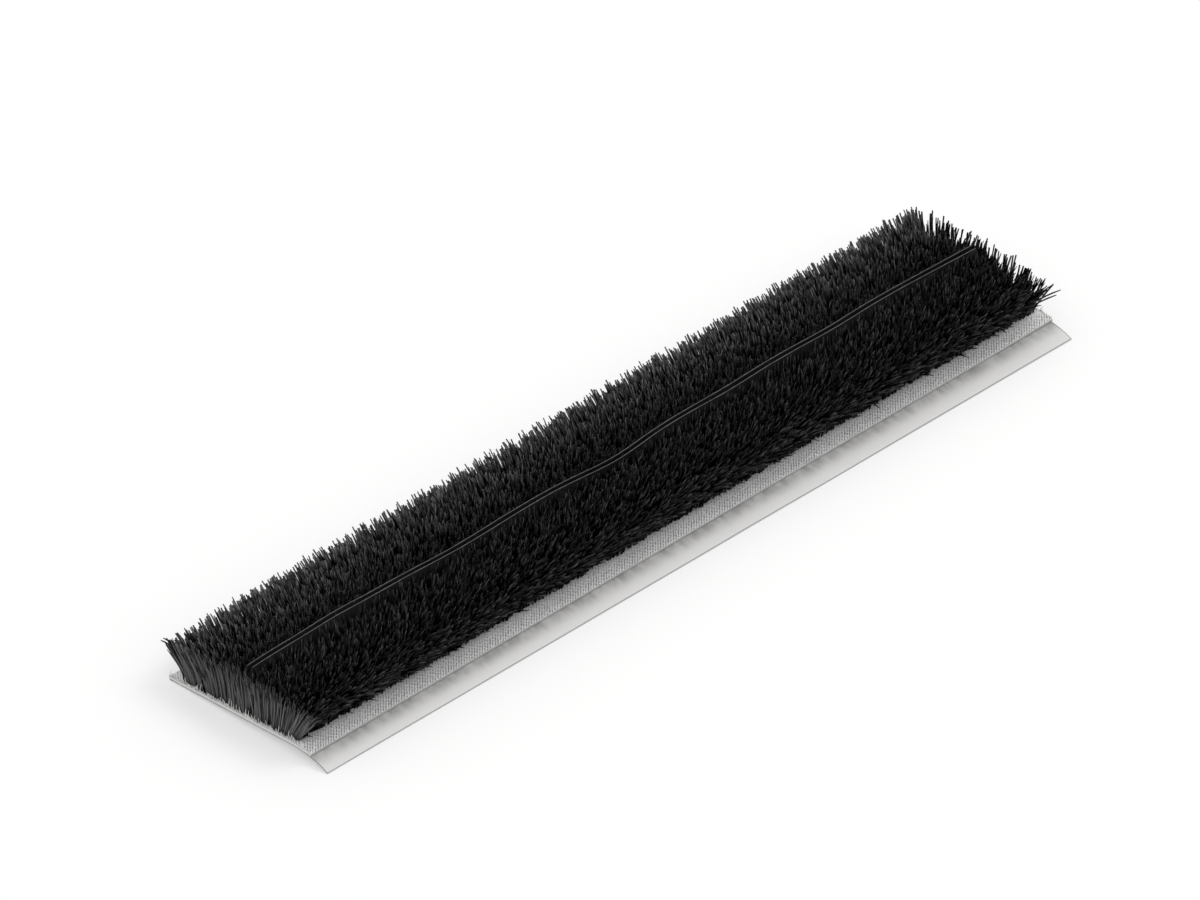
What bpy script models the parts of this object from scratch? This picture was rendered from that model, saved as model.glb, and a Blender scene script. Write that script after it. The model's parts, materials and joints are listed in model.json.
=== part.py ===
"""Self-adhesive brush seal strip, a cut length with both ends showing.

Two banks of bristle pile stand on a woven backing, on either side of a folded film fin. Under the
backing lie an adhesive tape and a release liner, whose tab runs past the backing's near edge and
curls down. The strip runs along X, its near side faces -Y, and sizes are in metres with +Z up.

The layers are drawn level, then turned about X until the far edge of the liner and the curled edge of
its tab both lie on the floor, which is how the strip lies by itself.
"""

import math
import random

import bmesh
import bpy
from mathutils import Matrix, Vector

MM = 0.001

# The cut length and its woven backing
STRIP_LENGTH = 108.0 * MM
BACKING_WIDTH = 20.0 * MM
BACKING_THICKNESS = 0.24 * MM
NEAR_MARGIN = 2.2 * MM  # bare backing between the pile and the near edge
FAR_MARGIN = 1.9 * MM
MARGIN_CREASE_RUN = 0.9 * MM  # soft crease along the pile's near edge
MARGIN_DROOP = math.radians(10.5)

# The tape and the liner under the backing
TAPE_THICKNESS = 0.07 * MM
TAPE_INSET = 0.6 * MM  # from the backing's long edges
LINER_THICKNESS = 0.06 * MM
LINER_TAB = 2.35 * MM  # past the backing's near edge at the left end, measured along the film
LINER_SKEW = 0.5 * MM  # the film lies askew: this much more tab at the right end
TAB_DROP = 0.90 * MM  # of the tab's edge below the backing's near edge
BOND_GAP = 0.02 * MM  # between one layer's face and the next
SAME_PLACE = 0.001 * MM  # stations closer than this are one
CURVE_STEPS = 4  # facets round the crease, and again round the tab
LINER_STATIONS = 4  # along the strip, because the tab's curl opens as it widens

# The pile
PILE_HEIGHT = 5.15 * MM
PILE_ROOT_HEIGHT = 1.0 * MM  # below it the tufts are one mass
PILE_FIN_CLEARANCE = 0.12 * MM
PILE_END_INSET = 0.25 * MM  # of the roots, from the cut ends
PILE_LEAN_NEAR = math.radians(37)  # of the outermost bristles, away from the fin
PILE_LEAN_FAR = math.radians(29)
PILE_LEAN_POWER = 2.0  # how much the lean keeps to the edges
PILE_BEND_POWER = 1.5  # how much a bristle keeps its bend for its tip
PILE_END_SPLAY = 1.2 * MM  # of the tips past the roots, at both cut ends
PILE_SPLAY_REACH = 7.0 * MM  # how far in from a cut end the splay dies out
TUFT_ROWS = 4
TUFT_COLUMNS = 60
TUFT_ROOT_WANDER = 0.22 * MM  # of the corners where four tufts meet
TUFT_WAIST = 0.84  # width at half height, as a share of the width at the root
TUFT_TIP = 0.52  # width at the tip, as a share of the width at the root
TUFT_POINT = 0.40 * MM  # rise of the tip's middle
TUFT_WANDER = 0.22 * MM  # of a tuft's tip, any way
TUFT_TWIST = math.radians(24)
TUFT_HEIGHT_SPREAD = 0.07  # share of the height
PILE_SEED = 11

# The folded film fin
FIN_OVER_TIPS = 0.05 * MM  # the fin stands this much over the pile beside it
FIN_PLY = 0.08 * MM
FIN_OPENING = 0.56 * MM  # clear width between the two plies
FIN_END_INSET = 0.3 * MM  # at the fold, from the backing's cut ends
FIN_END_RAKE = 1.3 * MM  # further inset of the top corners
FIN_END_DIP = 0.30 * MM  # of the top edges at the cut ends
FIN_DIP_REACH = 7.0 * MM
FIN_STATIONS = 48
FIN_FOLD_STEPS = 4
FIN_WALL_STEPS = 3

# Where the fin's top edges bend: place along the strip, half width of the bend, shift towards +Y
FIN_BENDS = (
    (0.0 * MM, 8.0 * MM, -0.12 * MM),
    (31.7 * MM, 7.0 * MM, -0.36 * MM),
    (53.9 * MM, 5.5 * MM, -0.62 * MM),
    (86.0 * MM, 4.5 * MM, -0.20 * MM),
    (108.0 * MM, 9.0 * MM, -0.40 * MM),
)


def clear_scene():
    for old in list(bpy.data.objects):
        bpy.data.objects.remove(old, do_unlink=True)


def make_material(name, colour, roughness):
    material = bpy.data.materials.new(name)
    material.use_nodes = True
    shader = material.node_tree.nodes["Principled BSDF"]
    shader.inputs["Base Color"].default_value = (*colour, 1.0)
    shader.inputs["Roughness"].default_value = roughness
    shader.inputs["Metallic"].default_value = 0.0
    material.diffuse_color = (*colour, 1.0)
    return material


def finish_object(name, mesh_builder, material, parent):
    """Turns a bmesh into a named object under the strip's rest frame."""
    bmesh.ops.recalc_face_normals(mesh_builder, faces=mesh_builder.faces)
    mesh = bpy.data.meshes.new(name)
    mesh_builder.to_mesh(mesh)
    mesh_builder.free()
    mesh.materials.append(material)
    solid = bpy.data.objects.new(name, mesh)
    bpy.context.collection.objects.link(solid)
    solid.parent = parent
    return solid


# The stack of layers, by the height of each face over the liner's flat underside

TAPE_BOTTOM = LINER_THICKNESS + BOND_GAP
TAPE_TOP = TAPE_BOTTOM + TAPE_THICKNESS
BACKING_BOTTOM = TAPE_TOP + BOND_GAP
BACKING_TOP = BACKING_BOTTOM + BACKING_THICKNESS
ROOT_PLANE = BACKING_TOP + BOND_GAP

FAR_EDGE = BACKING_WIDTH / 2
PILE_NEAR_EDGE = NEAR_MARGIN - BACKING_WIDTH / 2
PILE_FAR_EDGE = BACKING_WIDTH / 2 - FAR_MARGIN
FIN_HEIGHT = PILE_HEIGHT + FIN_OVER_TIPS
FIN_HALF_WIDTH = FIN_OPENING / 2 + FIN_PLY


def section_runs(share):
    """The section's runs from the far edge, each with its length and the angle it turns down by.

    share says where along the strip, from 0 at the left end to 1 at the right one.
    """
    tab = LINER_TAB + LINER_SKEW * share
    tab_turn = 2 * (math.asin(TAB_DROP / tab) - MARGIN_DROOP)
    return (
        (FAR_EDGE - PILE_NEAR_EDGE, 0.0),
        (MARGIN_CREASE_RUN, MARGIN_DROOP),
        (NEAR_MARGIN - MARGIN_CREASE_RUN, 0.0),
        (tab, tab_turn),
    )


def section_point(travel, height, share):
    """A point of the layers' section: travel along the liner's underside, then height away from it."""
    y, z, slope = FAR_EDGE, 0.0, 0.0
    for run, turn in section_runs(share):
        step = min(travel, run)
        swing = turn * step / run
        if swing:
            radius = run / turn
            y -= radius * (math.sin(slope + swing) - math.sin(slope))
            z -= radius * (math.cos(slope) - math.cos(slope + swing))
        else:
            y -= step * math.cos(slope)
            z -= step * math.sin(slope)
        slope += swing
        travel -= step
    return y - height * math.sin(slope), z + height * math.cos(slope)


def layer_travels(first, last, share):
    """Stations across a layer: its two edges, and between them the ends and facets of every run."""
    stations = []
    done = 0.0
    for run, turn in section_runs(share):
        steps = CURVE_STEPS if turn else 1
        stations += [done + run * (step + 1) / steps for step in range(steps)]
        done += run
    inside = [station for station in stations if station < last - SAME_PLACE]
    return [first, *inside, last]


def build_layer(name, first, last, heights, skew, stations, material, parent):
    """One film or tape, as its section repeated along the strip and bridged into a closed sheet."""
    bottom, top = heights
    builder = bmesh.new()
    loops = []
    for station in range(stations + 1):
        share = station / stations
        travels = layer_travels(first + skew * share, last + skew * share, share)
        outline = [section_point(travel, top, share) for travel in travels]
        outline += [section_point(travel, bottom, share) for travel in reversed(travels)]
        x = STRIP_LENGTH * (share - 0.5)
        loops.append([builder.verts.new((x, y, z)) for y, z in outline])
    skin_and_cap(builder, loops)
    return finish_object(name, builder, material, parent)


def skin_and_cap(builder, loops):
    """Joins equal loops into a tube, and caps its ends across from each loop's first half to its second."""
    count = len(loops[0])
    for loop, following in zip(loops, loops[1:]):
        for corner in range(count):
            other = (corner + 1) % count
            builder.faces.new((loop[corner], loop[other], following[other], following[corner]))
    for loop in (loops[0], loops[-1]):
        for corner in range(count // 2 - 1):
            facing = count - 1 - corner
            builder.faces.new((loop[corner], loop[corner + 1], loop[facing - 1], loop[facing]))


def fin_shift(along):
    """How far the fin's top edge stands towards +Y, at a distance along from the left cut end."""
    return sum(shift * math.exp(-(((along - place) / reach) ** 2)) for place, reach, shift in FIN_BENDS)


def from_end(along):
    return min(along, STRIP_LENGTH - along)


def fin_wall(half_width):
    """Points down one side of the U, round its fold and up the other side, at one face of the film."""
    fold_centre = FIN_HALF_WIDTH
    drops = [
        FIN_HEIGHT + (fold_centre - FIN_HEIGHT) * step / FIN_WALL_STEPS for step in range(FIN_WALL_STEPS)
    ]
    angles = [math.pi * step / FIN_FOLD_STEPS for step in range(FIN_FOLD_STEPS + 1)]
    fold = [
        (half_width * math.cos(angle), fold_centre - half_width * math.sin(angle)) for angle in angles
    ]
    return [(half_width, z) for z in drops] + fold + [(-half_width, z) for z in reversed(drops)]


def build_fin(material, parent):
    """A film folded into a U, whose top edges wander while the fold stays straight on the backing."""
    outline = fin_wall(FIN_HALF_WIDTH) + fin_wall(FIN_OPENING / 2)[::-1]
    builder = bmesh.new()
    loops = []
    for station in range(FIN_STATIONS + 1):
        loop = []
        for y, z in outline:
            rise = z / FIN_HEIGHT
            inset = FIN_END_INSET + FIN_END_RAKE * rise**2
            along = inset + (STRIP_LENGTH - 2 * inset) * station / FIN_STATIONS
            dip = FIN_END_DIP * max(0.0, 1.0 - from_end(along) / FIN_DIP_REACH) ** 2 * rise
            bend = fin_shift(along) * rise**2
            loop.append(
                builder.verts.new((along - STRIP_LENGTH / 2, y + bend, ROOT_PLANE + z - dip))
            )
        loops.append(loop)
    skin_and_cap(builder, loops)
    return finish_object("barrier_fin", builder, material, parent)


def fan_out(point):
    """Moves a point of the upright pile to where the fanned, splayed pile has it."""
    rise = point.z / PILE_HEIGHT
    if point.y > 0:
        across, edge_lean = point.y / PILE_FAR_EDGE, PILE_LEAN_FAR
    else:
        across, edge_lean = point.y / PILE_NEAR_EDGE, -PILE_LEAN_NEAR
    lean = edge_lean * across**PILE_LEAN_POWER
    along = point.x + STRIP_LENGTH / 2
    outward = math.copysign(1.0, point.x)
    splay = PILE_END_SPLAY * max(0.0, 1.0 - from_end(along) / PILE_SPLAY_REACH) ** 2 * rise**2
    follow = fin_shift(along) * rise**2 * (1.0 - across)
    return Vector(
        (
            point.x + outward * splay,
            point.y + PILE_HEIGHT * math.sin(lean) * rise**PILE_BEND_POWER + follow,
            ROOT_PLANE + point.z * (1.0 - (1.0 - math.cos(lean)) * rise),
        )
    )


def build_bank(name, side, material, parent):
    """One bank of pile: a root mass whose top is parted into tufts, each drawn up to a blunt point."""
    chance = random.Random(PILE_SEED + side)
    inner_edge = side * (FIN_HALF_WIDTH + PILE_FIN_CLEARANCE)
    outer_edge = PILE_FAR_EDGE if side > 0 else PILE_NEAR_EDGE
    half_length = STRIP_LENGTH / 2 - PILE_END_INSET
    builder = bmesh.new()
    bmesh.ops.create_grid(builder, x_segments=TUFT_COLUMNS, y_segments=TUFT_ROWS, size=1.0)
    for vertex in builder.verts:
        vertex.co.x *= half_length
        vertex.co.y = inner_edge + (outer_edge - inner_edge) * (vertex.co.y + 1.0) / 2

    # The root mass
    grown = bmesh.ops.extrude_face_region(builder, geom=builder.faces[:], use_keep_orig=True)
    lifted = [item for item in grown["geom"] if isinstance(item, bmesh.types.BMVert)]
    crowns = [item for item in grown["geom"] if isinstance(item, bmesh.types.BMFace)]
    crown_faces = set(crowns)
    for vertex in lifted:
        vertex.co.z = PILE_ROOT_HEIGHT
        if crown_faces.issuperset(vertex.link_faces):
            vertex.co.x += chance.uniform(-1, 1) * TUFT_ROOT_WANDER
            vertex.co.y += chance.uniform(-1, 1) * TUFT_ROOT_WANDER

    # The tufts, each in two lengths with a blunt point
    waists = bmesh.ops.extrude_discrete_faces(builder, faces=crowns)["faces"]
    tuft_length = PILE_HEIGHT - TUFT_POINT - PILE_ROOT_HEIGHT
    for face in waists:
        centre = face.calc_center_median()
        for vertex in face.verts:
            vertex.co = centre + (vertex.co - centre) * TUFT_WAIST
            vertex.co.z = PILE_ROOT_HEIGHT + tuft_length / 2
    tips = bmesh.ops.extrude_discrete_faces(builder, faces=waists)["faces"]
    for face in tips:
        centre = face.calc_center_median()
        height = PILE_ROOT_HEIGHT + tuft_length * (1 - TUFT_HEIGHT_SPREAD * chance.random())
        twist = Matrix.Rotation(chance.uniform(-TUFT_TWIST, TUFT_TWIST), 3, "Z")
        wander = Vector((chance.uniform(-1, 1), chance.uniform(-1, 1), 0)) * TUFT_WANDER
        for vertex in face.verts:
            spoke = (vertex.co - centre) * (TUFT_TIP / TUFT_WAIST)
            vertex.co = Vector((centre.x, centre.y, height)) + twist @ spoke + wander
    bmesh.ops.poke(builder, faces=tips, offset=TUFT_POINT)

    for vertex in builder.verts:
        vertex.co = fan_out(vertex.co)
    return finish_object(name, builder, material, parent)


def rest_tilt():
    """Turn about X that puts the liner's far edge and its tab's edge at one height, at mid length."""
    far_y = FAR_EDGE - LINER_SKEW / 2
    tab_y, tab_z = section_point(BACKING_WIDTH + LINER_TAB + LINER_SKEW / 2, 0.0, 0.5)
    return math.atan2(tab_z, far_y - tab_y)


def seat_on_floor(frame, solids):
    """Moves the strip so that the origin is under the middle of it, at floor level."""
    frame.rotation_euler = (rest_tilt(), 0, 0)
    bpy.context.view_layer.update()
    corners = [solid.matrix_world @ vertex.co for solid in solids for vertex in solid.data.vertices]
    low = Vector([min(corner[axis] for corner in corners) for axis in range(3)])
    high = Vector([max(corner[axis] for corner in corners) for axis in range(3)])
    frame.location = (-(low.x + high.x) / 2, -(low.y + high.y) / 2, -low.z)


def build_strip():
    clear_scene()
    liner_film = make_material("liner_film", (0.78, 0.77, 0.75), 0.45)
    tape_film = make_material("tape_adhesive", (0.22, 0.22, 0.22), 0.6)
    woven_yarn = make_material("woven_yarn", (0.42, 0.42, 0.42), 0.85)
    fin_film = make_material("fin_film", (0.10, 0.10, 0.10), 0.35)
    bristle = make_material("black_bristle", (0.012, 0.012, 0.012), 0.55)

    frame = bpy.data.objects.new("rest_frame", None)
    bpy.context.collection.objects.link(frame)
    liner = build_layer(
        "release_liner",
        first=0.0,
        last=BACKING_WIDTH + LINER_TAB,
        heights=(0.0, LINER_THICKNESS),
        skew=LINER_SKEW,
        stations=LINER_STATIONS,
        material=liner_film,
        parent=frame,
    )
    tape = build_layer(
        "adhesive_tape",
        first=TAPE_INSET,
        last=BACKING_WIDTH - TAPE_INSET,
        heights=(TAPE_BOTTOM, TAPE_TOP),
        skew=0.0,
        stations=1,
        material=tape_film,
        parent=frame,
    )
    backing = build_layer(
        "woven_backing",
        first=0.0,
        last=BACKING_WIDTH,
        heights=(BACKING_BOTTOM, BACKING_TOP),
        skew=0.0,
        stations=1,
        material=woven_yarn,
        parent=frame,
    )
    fin = build_fin(fin_film, frame)
    near_bank = build_bank("pile_near", -1, bristle, frame)
    far_bank = build_bank("pile_far", 1, bristle, frame)
    solids = [liner, tape, backing, fin, near_bank, far_bank]
    seat_on_floor(frame, solids)


build_strip()
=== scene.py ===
# %% [markdown]
# # A self-adhesive brush seal strip
# Such a strip closes the gap round a door or a sliding window. Black bristles stand in two banks on a
# woven backing, a thin film fin between them stops the draught, and an adhesive tape under the backing
# waits behind a release liner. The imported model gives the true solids; this lesson dresses them.

import json
import math
import random

import bmesh
import bpy
from mathutils import Matrix, Vector


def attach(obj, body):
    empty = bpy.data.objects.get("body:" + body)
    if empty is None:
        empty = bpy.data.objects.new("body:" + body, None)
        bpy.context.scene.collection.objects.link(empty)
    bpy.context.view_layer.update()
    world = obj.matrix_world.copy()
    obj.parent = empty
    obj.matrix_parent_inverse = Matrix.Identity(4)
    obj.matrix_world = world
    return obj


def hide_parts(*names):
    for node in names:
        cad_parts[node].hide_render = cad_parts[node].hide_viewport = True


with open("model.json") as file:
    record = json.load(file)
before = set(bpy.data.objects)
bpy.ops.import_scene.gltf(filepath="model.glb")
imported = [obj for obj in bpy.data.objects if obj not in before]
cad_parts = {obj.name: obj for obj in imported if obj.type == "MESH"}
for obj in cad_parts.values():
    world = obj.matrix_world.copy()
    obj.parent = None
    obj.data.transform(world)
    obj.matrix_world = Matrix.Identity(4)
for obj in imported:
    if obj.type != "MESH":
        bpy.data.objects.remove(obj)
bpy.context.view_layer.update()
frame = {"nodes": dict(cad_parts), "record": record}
MM = 0.001


def add_object(name, data):
    """A new object in the scene that shows the given data."""
    item = bpy.data.objects.new(name, data)
    bpy.context.scene.collection.objects.link(item)
    return item


print("solids:", sorted(frame["nodes"]))

# %% [markdown]
# ## The strip's own frame
# The strip lies slightly tilted, because its liner's curled tab holds the near side off the floor.
# Everything is easier to draw level and to tilt afterwards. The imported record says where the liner's
# flat underside is and which way it faces, so one matrix takes level sizes to the real place.

# %% Level sizes and the matrix to the real place
STRIP_LENGTH = 108.0 * MM
BACKING_WIDTH = 20.0 * MM
NEAR_MARGIN = 2.2 * MM
FAR_MARGIN = 1.9 * MM
FAR_EDGE = BACKING_WIDTH / 2
PILE_NEAR_EDGE = NEAR_MARGIN - BACKING_WIDTH / 2
PILE_FAR_EDGE = BACKING_WIDTH / 2 - FAR_MARGIN

liner_face = next(mount for mount in frame["record"]["mounts"] if mount["name"] == "liner_face")
up = -Vector(liner_face["axis"])
along = Vector((1, 0, 0))
across = up.cross(along)
flat_middle = (FAR_EDGE + PILE_NEAR_EDGE) / 2
origin = Vector(liner_face["pos_m"]) - across * flat_middle
STRIP_TO_WORLD = Matrix((along, across, up)).transposed().to_4x4()
STRIP_TO_WORLD.translation = origin
print("tilt, degrees:", round(math.degrees(math.asin(across.z)), 2))

# %% [markdown]
# ## The camera
# The photograph is a steep view along a diagonal with hardly any perspective, so a very long lens
# stands three metres off. The few angles were found by matching the strip's corners to the picture.

# %% Camera
CAMERA_AZIMUTH = math.radians(46.58)
CAMERA_ELEVATION = math.radians(35.723)
CAMERA_ROLL = math.radians(1.425)
CAMERA_DISTANCE = 3.0
CAMERA_AIM_RIGHT = -2.318 * MM
CAMERA_AIM_UP = 5.865 * MM
LENS_LENGTH = 886.52

forward = Vector(
    (
        math.sin(CAMERA_AZIMUTH) * math.cos(CAMERA_ELEVATION),
        math.cos(CAMERA_AZIMUTH) * math.cos(CAMERA_ELEVATION),
        -math.sin(CAMERA_ELEVATION),
    )
)
level_right = Vector((math.cos(CAMERA_AZIMUTH), -math.sin(CAMERA_AZIMUTH), 0))
level_up = level_right.cross(forward)
right = math.cos(CAMERA_ROLL) * level_right + math.sin(CAMERA_ROLL) * level_up
upright = math.cos(CAMERA_ROLL) * level_up - math.sin(CAMERA_ROLL) * level_right

camera = add_object("camera", bpy.data.cameras.new("camera"))
camera.data.lens = LENS_LENGTH
camera.data.sensor_width = 36.0
camera.data.clip_end = 20.0
turn = Matrix((right, upright, -forward)).transposed().to_4x4()
place = right * CAMERA_AIM_RIGHT + upright * CAMERA_AIM_UP - forward * CAMERA_DISTANCE
camera.matrix_world = Matrix.Translation(place) @ turn
bpy.context.scene.camera = camera
bpy.context.scene.view_settings.view_transform = "Standard"
print("camera stands at", [round(part, 3) for part in place])

# %% [markdown]
# ## Floor and light
# The strip lies on a white table in an evenly lit white room. Glossy black shows little colour of its own and
# mirrors what is around it: the cut end mirrors the table and looks grey, the far bank mirrors the room in
# short strokes, and the near bank mirrors only more pile and stays black. The grey of the left end and the
# far bank's pale strokes are also painted light in the bristle finishes further down, and the right end's
# black is partly painted shade. So table and room are white for mirror rays too. One soft lamp on the right
# lets the strip's shade fall to the left.

# %% Shader helpers
def new_material(name):
    """A material with an empty Principled shader, returned with its tree."""
    material = bpy.data.materials.new(name)
    material.use_nodes = True
    return material, material.node_tree, material.node_tree.nodes["Principled BSDF"]


def join(tree, value, socket):
    """Links a socket to an input, or sets the input to a plain value."""
    if isinstance(value, bpy.types.NodeSocket):
        tree.links.new(value, socket)
    else:
        socket.default_value = value


def add_node(tree, kind, inputs=None, **settings):
    """Adds a node, sets its options and joins its inputs by name or number."""
    node = tree.nodes.new(kind)
    for name, value in settings.items():
        setattr(node, name, value)
    for name, value in (inputs or {}).items():
        join(tree, value, node.inputs[name])
    return node


def tint(tree, factor, dark, light):
    """Mixes two colours by a factor and returns the result."""
    mix = add_node(tree, "ShaderNodeMix", data_type="RGBA")
    join(tree, factor, mix.inputs[0])
    join(tree, dark, mix.inputs[6])
    join(tree, light, mix.inputs[7])
    return mix.outputs[2]


def maths(tree, operation, *values):
    """One maths node, with sockets or plain numbers as its inputs; returns its result."""
    return add_node(tree, "ShaderNodeMath", dict(enumerate(values)), operation=operation).outputs[0]


def ramp(tree, value, start, stop, low=0.0, high=1.0, course="SMOOTHSTEP"):
    """Goes from low to high while a value goes from start to stop."""
    inputs = {"Value": value, "From Min": start, "From Max": stop, "To Min": low, "To Max": high}
    return add_node(tree, "ShaderNodeMapRange", inputs, interpolation_type=course).outputs[0]


def noise(tree, vector, scale, detail=3.0, roughness=0.5):
    """Soft random patches, as numbers round one half."""
    inputs = {"Vector": vector, "Scale": scale, "Detail": detail, "Roughness": roughness}
    return add_node(tree, "ShaderNodeTexNoise", inputs).outputs[0]


def attribute(tree, name):
    return add_node(tree, "ShaderNodeAttribute", attribute_name=name).outputs["Fac"]


def film_place(tree, uv_map):
    """A film's UV place, and its parts along and across the strip, all in millimetres."""
    place = add_node(tree, "ShaderNodeUVMap", uv_map=uv_map).outputs[0]
    parts = add_node(tree, "ShaderNodeSeparateXYZ", {0: place})
    return place, parts.outputs[0], parts.outputs[1]


def relief(tree, height, distance, strength=1.0):
    """A very shallow bump."""
    inputs = {"Height": height, "Strength": strength, "Distance": distance}
    return add_node(tree, "ShaderNodeBump", inputs).outputs[0]


def dress(tree, shader, colour, roughness, **others):
    """Sets a shader's colour, its roughness and other inputs by name."""
    join(tree, colour, shader.inputs["Base Color"])
    shader.inputs["Roughness"].default_value = roughness
    for name, value in others.items():
        join(tree, value, shader.inputs[name.replace("_", " ")])


print("shader helpers ready")

# %% White table
FLOOR_SIZE = 1.2
floor_material, tree, _ = new_material("white_table")
tree.nodes.clear()
light_path = add_node(tree, "ShaderNodeLightPath")
plain = add_node(tree, "ShaderNodeBsdfDiffuse", {"Color": (0.82, 0.82, 0.82, 1)})
shaded = add_node(tree, "ShaderNodeBsdfDiffuse", {"Color": (0.67, 0.665, 0.655, 1)})
pale = add_node(tree, "ShaderNodeEmission", {"Color": (0.975, 0.985, 1, 1), "Strength": 0.40})
shown = add_node(tree, "ShaderNodeAddShader", {0: shaded.outputs[0], 1: pale.outputs[0]})
white = add_node(tree, "ShaderNodeEmission", {"Color": (1, 1, 1, 1), "Strength": 1.0})
chosen = plain
for ray, look in (("Is Camera Ray", shown), ("Is Glossy Ray", white)):
    inputs = {0: light_path.outputs[ray], 1: chosen.outputs[0], 2: look.outputs[0]}
    chosen = add_node(tree, "ShaderNodeMixShader", inputs)
add_node(tree, "ShaderNodeOutputMaterial", {"Surface": chosen.outputs[0]})

half = FLOOR_SIZE / 2
corners = [(-half, -half, 0), (half, -half, 0), (half, half, 0), (-half, half, 0)]
floor_mesh = bpy.data.meshes.new("floor")
floor_mesh.from_pydata(corners, [], [(0, 1, 2, 3)])
floor_mesh.materials.append(floor_material)
floor = add_object("floor", floor_mesh)
print("table side, m:", FLOOR_SIZE)

# %% White room and lamp
WORLD_LEVEL = 0.80
LAMP_WATTS = 2.4
LAMP_SIZE = 0.6
LAMP_PLACE = Vector((0.62, -0.30, 0.88))

world = bpy.data.worlds.new("soft_room")
world.use_nodes = True
tree = world.node_tree
tree.nodes.clear()
light_path = add_node(tree, "ShaderNodeLightPath")
eye = maths(tree, "MAXIMUM", light_path.outputs["Is Camera Ray"], light_path.outputs["Is Glossy Ray"])
eye = maths(tree, "MAXIMUM", eye, light_path.outputs["Is Transmission Ray"])
level = maths(tree, "MULTIPLY_ADD", eye, 1.0 - WORLD_LEVEL, WORLD_LEVEL)
sky = add_node(tree, "ShaderNodeBackground", {"Color": (1, 1, 1, 1), "Strength": level})
add_node(tree, "ShaderNodeOutputWorld", {"Surface": sky.outputs[0]})
bpy.context.scene.world = world

lamp = bpy.data.lights.new("soft_lamp", "AREA")
lamp.size = LAMP_SIZE
lamp.energy = LAMP_WATTS
towards_strip = LAMP_PLACE.to_track_quat("Z", "Y").to_matrix().to_4x4()
add_object("soft_lamp", lamp).matrix_world = Matrix.Translation(LAMP_PLACE) @ towards_strip
print("lamps: 1, world level:", WORLD_LEVEL)

# %% [markdown]
# ## The layers' section
# All the layers bend alike: flat under the pile, a soft crease along its near edge, a drooping margin
# and then the curl of the liner's tab. One function walks that path and gives any point on it, so film
# and weave can never cut into each other or into the tape between them.

# %% Section
MARGIN_CREASE_RUN = 0.9 * MM
MARGIN_DROOP = math.radians(10.5)
LINER_TAB = 2.55 * MM
LINER_SKEW = 0.35 * MM
TAB_DROP = 0.90 * MM
LINER_THICKNESS = 0.06 * MM
BACKING_BOTTOM = 0.17 * MM
BACKING_TOP = 0.41 * MM
ROOT_PLANE = 0.43 * MM


def section_runs(share):
    """Each run of the section, from the far edge: its length and how far it turns down."""
    tab = LINER_TAB + LINER_SKEW * share
    tab_turn = 2 * (math.asin(TAB_DROP / tab) - MARGIN_DROOP)
    return (
        (FAR_EDGE - PILE_NEAR_EDGE, 0.0),
        (MARGIN_CREASE_RUN, MARGIN_DROOP),
        (NEAR_MARGIN - MARGIN_CREASE_RUN, 0.0),
        (tab, tab_turn),
    )


def section_point(travel, height, share):
    """The point at a travel along the liner's underside from the far edge, and a height off it."""
    y, z, slope = FAR_EDGE, 0.0, 0.0
    for run, turn in section_runs(share):
        step = min(travel, run)
        swing = turn * step / run
        if swing:
            radius = run / turn
            y -= radius * (math.sin(slope + swing) - math.sin(slope))
            z -= radius * (math.cos(slope) - math.cos(slope + swing))
        else:
            y -= step * math.cos(slope)
            z -= step * math.sin(slope)
        slope += swing
        travel -= step
    return y - height * math.sin(slope), z + height * math.cos(slope)


print("tab's edge, mm:", [round(part / MM, 2) for part in section_point(BACKING_WIDTH + LINER_TAB, 0, 0)])

# %% [markdown]
# ## Drawing films and cloth
# The liner, the weave and the fin are drawn ring by ring along the strip. Each point remembers its place
# on the flat film in real millimetres, which becomes the UV map, so marks can follow the film round a
# bend. The last helper moves a level mesh to its real place and lets it ride on the strip.

# %% Film helpers
def section_ring(share, outline, tab_lift=0.0):
    """Points across the section at a share of the strip's length, each with its place on the film."""
    x = STRIP_LENGTH * (share - 0.5)
    ring = []
    for travel, height in outline:
        y, z = section_point(travel, height, share)
        beyond = max(0.0, travel - BACKING_WIDTH) / LINER_TAB
        ring.append(((x, y, z + tab_lift * beyond), (x, travel)))
    return ring


def draw_ring(builder, where, ring):
    """Draws a ring's points and notes the place of each on the film."""
    vertices = []
    for point, place in ring:
        vertex = builder.verts.new(point)
        where[vertex] = place
        vertices.append(vertex)
    return vertices


def close_mesh(builder, uv, where, sharp_angle):
    """Writes the UV map and turns the drawing into a mesh that is smooth but for its sharp edges."""
    for face in builder.faces:
        for loop in face.loops:
            loop[uv].uv = [part / MM for part in where[loop.vert]]
    mesh = bpy.data.meshes.new("film")
    builder.to_mesh(mesh)
    builder.free()
    mesh.shade_smooth()
    mesh.set_sharp_from_angle(angle=math.radians(sharp_angle))
    return mesh


def bridge(builder, loops, sides):
    """Draws faces from each ring to the next, on its first few sides or on all of them."""
    for loop, following in zip(loops, loops[1:]):
        for corner in range(sides):
            other = (corner + 1) % len(loop)
            builder.faces.new((loop[corner], loop[other], following[other], following[corner]))


def loft_film(rings):
    """A closed film through its rings, each of which runs down one face and back up the other."""
    builder = bmesh.new()
    uv = builder.loops.layers.uv.new("film")
    where = {}
    loops = [draw_ring(builder, where, ring) for ring in rings]
    count = len(loops[0])
    bridge(builder, loops, count)
    for loop in (loops[0], loops[-1]):
        for corner in range(count // 2 - 1):
            facing = count - 1 - corner
            builder.faces.new((loop[corner], loop[corner + 1], loop[facing - 1], loop[facing]))
    bmesh.ops.recalc_face_normals(builder, faces=builder.faces)
    return close_mesh(builder, uv, where, 40)


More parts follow.
